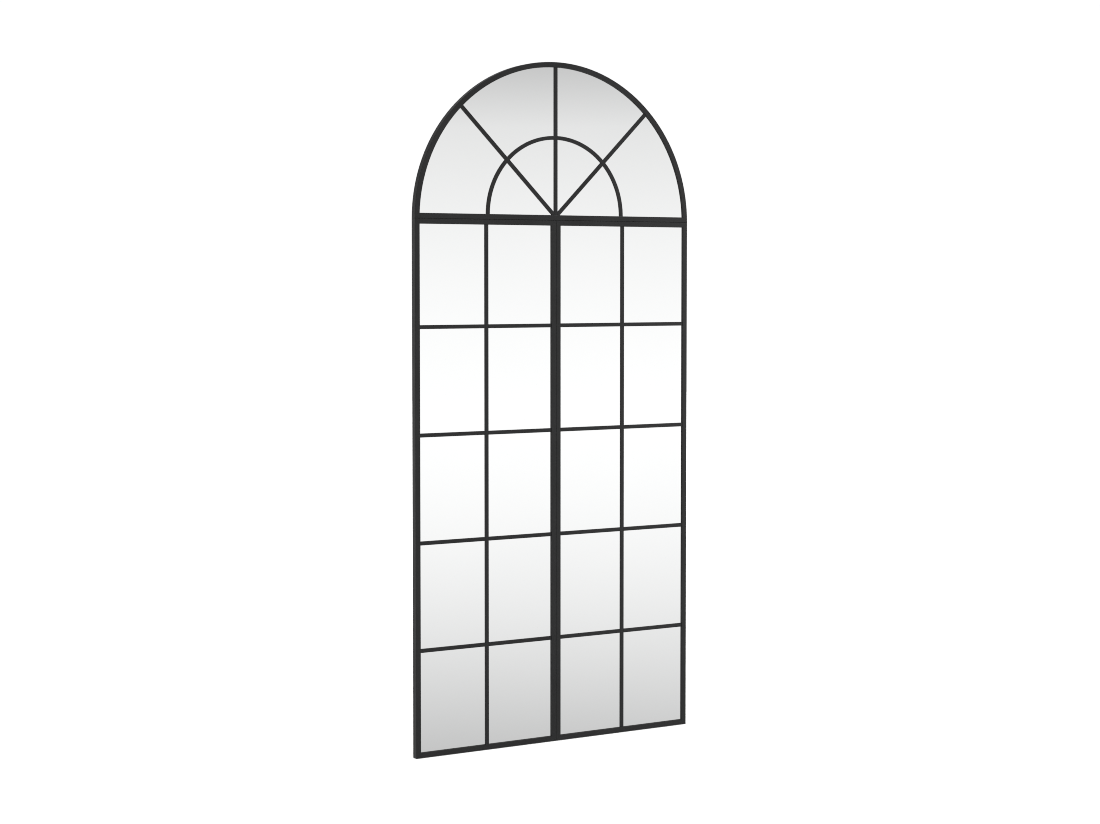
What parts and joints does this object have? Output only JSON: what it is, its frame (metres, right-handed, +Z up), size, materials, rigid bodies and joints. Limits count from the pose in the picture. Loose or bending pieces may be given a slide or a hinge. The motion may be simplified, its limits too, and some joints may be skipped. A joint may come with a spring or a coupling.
{
  "type": "arched wall mirror",
  "caption": "Arched window-style wall mirror: a half-round fan section above gridded panels in matte black steel angle frames, with keyhole hangers and turn buttons on the back.",
  "frame": {"origin": "bottom centre of the mirror, on the wall plane that its back lies on", "axes": "+X to the right seen from the front, +Y into the wall, +Z up; the mirror faces -Y"},
  "size_m": [0.9, 0.02, 1.9499],
  "materials": {
    "black_powder_coat": "matte black powder coat",
    "mirror_glass": "silvered float glass",
    "backing_board": "smooth brown hardboard",
    "glazing_tape": "black foam tape",
    "setting_block": "black rubber block",
    "zinc_plated_steel": "bright zinc plate"
  },
  "bodies": {
    "mirror_frame": {"arch_backing_board": "backing_board", "arch_base_rail": "black_powder_coat", "arch_button_lugs": "black_powder_coat", "arch_fan_bar_centre": "black_powder_coat", "arch_fan_bar_left": "black_powder_coat", "arch_fan_bar_right": "black_powder_coat", "arch_glazing_tape": "glazing_tape", "arch_hanger_plates": "black_powder_coat", "arch_inner_arc": "black_powder_coat", "arch_mirror_sheet": "mirror_glass", "arch_ring": "black_powder_coat", "arch_setting_blocks": "setting_block", "joining_bolts": "zinc_plated_steel", "joining_nuts": "zinc_plated_steel", "left_panel_backing_board": "backing_board", "left_panel_bottom_rail": "black_powder_coat", "left_panel_button_lugs": "black_powder_coat", "left_panel_cross_bar_1": "black_powder_coat", "left_panel_cross_bar_2": "black_powder_coat", "left_panel_cross_bar_3": "black_powder_coat", "left_panel_cross_bar_4": "black_powder_coat", "left_panel_glazing_tape": "glazing_tape", "left_panel_hanger_plates": "black_powder_coat", "left_panel_inner_stile": "black_powder_coat", "left_panel_mirror_sheet": "mirror_glass", "left_panel_outer_stile": "black_powder_coat", "left_panel_setting_blocks": "setting_block", "left_panel_top_rail": "black_powder_coat", "left_panel_upright_bar": "black_powder_coat", "right_panel_backing_board": "backing_board", "right_panel_bottom_rail": "black_powder_coat", "right_panel_button_lugs": "black_powder_coat", "right_panel_cross_bar_1": "black_powder_coat", "right_panel_cross_bar_2": "black_powder_coat", "right_panel_cross_bar_3": "black_powder_coat", "right_panel_cross_bar_4": "black_powder_coat", "right_panel_glazing_tape": "glazing_tape", "right_panel_hanger_plates": "black_powder_coat", "right_panel_inner_stile": "black_powder_coat", "right_panel_mirror_sheet": "mirror_glass", "right_panel_outer_stile": "black_powder_coat", "right_panel_setting_blocks": "setting_block", "right_panel_top_rail": "black_powder_coat", "right_panel_upright_bar": "black_powder_coat", "turn_button_screws": "zinc_plated_steel"},
    "left_panel_outer_low_turn_button": {"left_panel_outer_low_turn_button": "zinc_plated_steel"},
    "left_panel_outer_high_turn_button": {"left_panel_outer_high_turn_button": "zinc_plated_steel"},
    "left_panel_inner_low_turn_button": {"left_panel_inner_low_turn_button": "zinc_plated_steel"},
    "left_panel_inner_high_turn_button": {"left_panel_inner_high_turn_button": "zinc_plated_steel"},
    "right_panel_inner_low_turn_button": {"right_panel_inner_low_turn_button": "zinc_plated_steel"},
    "right_panel_inner_high_turn_button": {"right_panel_inner_high_turn_button": "zinc_plated_steel"},
    "right_panel_outer_low_turn_button": {"right_panel_outer_low_turn_button": "zinc_plated_steel"},
    "right_panel_outer_high_turn_button": {"right_panel_outer_high_turn_button": "zinc_plated_steel"},
    "arch_right_turn_button": {"arch_right_turn_button": "zinc_plated_steel"},
    "arch_top_turn_button": {"arch_top_turn_button": "zinc_plated_steel"},
    "arch_left_turn_button": {"arch_left_turn_button": "zinc_plated_steel"}
  },
  "joints": [
    {"name": "left_panel_outer_low_turn_button_swivel", "type": "hinge", "parent": "mirror_frame", "child": "left_panel_outer_low_turn_button", "pos_m": [-0.4425, -0.00865, 0.375], "axis": [0, 1, 0], "range_deg": [-90, 90]},
    {"name": "left_panel_outer_high_turn_button_swivel", "type": "hinge", "parent": "mirror_frame", "child": "left_panel_outer_high_turn_button", "pos_m": [-0.4425, -0.00865, 1.125], "axis": [0, 1, 0], "range_deg": [-90, 90]},
    {"name": "left_panel_inner_low_turn_button_swivel", "type": "hinge", "parent": "mirror_frame", "child": "left_panel_inner_low_turn_button", "pos_m": [-0.0075, -0.00865, 0.375], "axis": [0, 1, 0], "range_deg": [-90, 90]},
    {"name": "left_panel_inner_high_turn_button_swivel", "type": "hinge", "parent": "mirror_frame", "child": "left_panel_inner_high_turn_button", "pos_m": [-0.0075, -0.00865, 1.125], "axis": [0, 1, 0], "range_deg": [-90, 90]},
    {"name": "right_panel_inner_low_turn_button_swivel", "type": "hinge", "parent": "mirror_frame", "child": "right_panel_inner_low_turn_button", "pos_m": [0.0075, -0.00865, 0.375], "axis": [0, 1, 0], "range_deg": [-90, 90]},
    {"name": "right_panel_inner_high_turn_button_swivel", "type": "hinge", "parent": "mirror_frame", "child": "right_panel_inner_high_turn_button", "pos_m": [0.0075, -0.00865, 1.125], "axis": [0, 1, 0], "range_deg": [-90, 90]},
    {"name": "right_panel_outer_low_turn_button_swivel", "type": "hinge", "parent": "mirror_frame", "child": "right_panel_outer_low_turn_button", "pos_m": [0.4425, -0.00865, 0.375], "axis": [0, 1, 0], "range_deg": [-90, 90]},
    {"name": "right_panel_outer_high_turn_button_swivel", "type": "hinge", "parent": "mirror_frame", "child": "right_panel_outer_high_turn_button", "pos_m": [0.4425, -0.00865, 1.125], "axis": [0, 1, 0], "range_deg": [-90, 90]},
    {"name": "arch_right_turn_button_swivel", "type": "hinge", "parent": "mirror_frame", "child": "arch_right_turn_button", "pos_m": [0.40104, -0.00865, 1.68701], "axis": [0, 1, 0], "range_deg": [-90, 90]},
    {"name": "arch_top_turn_button_swivel", "type": "hinge", "parent": "mirror_frame", "child": "arch_top_turn_button", "pos_m": [0, -0.00865, 1.9425], "axis": [0, 1, 0], "range_deg": [-90, 90]},
    {"name": "arch_left_turn_button_swivel", "type": "hinge", "parent": "mirror_frame", "child": "arch_left_turn_button", "pos_m": [-0.40104, -0.00865, 1.68701], "axis": [0, 1, 0], "range_deg": [-90, 90]}
  ]
}
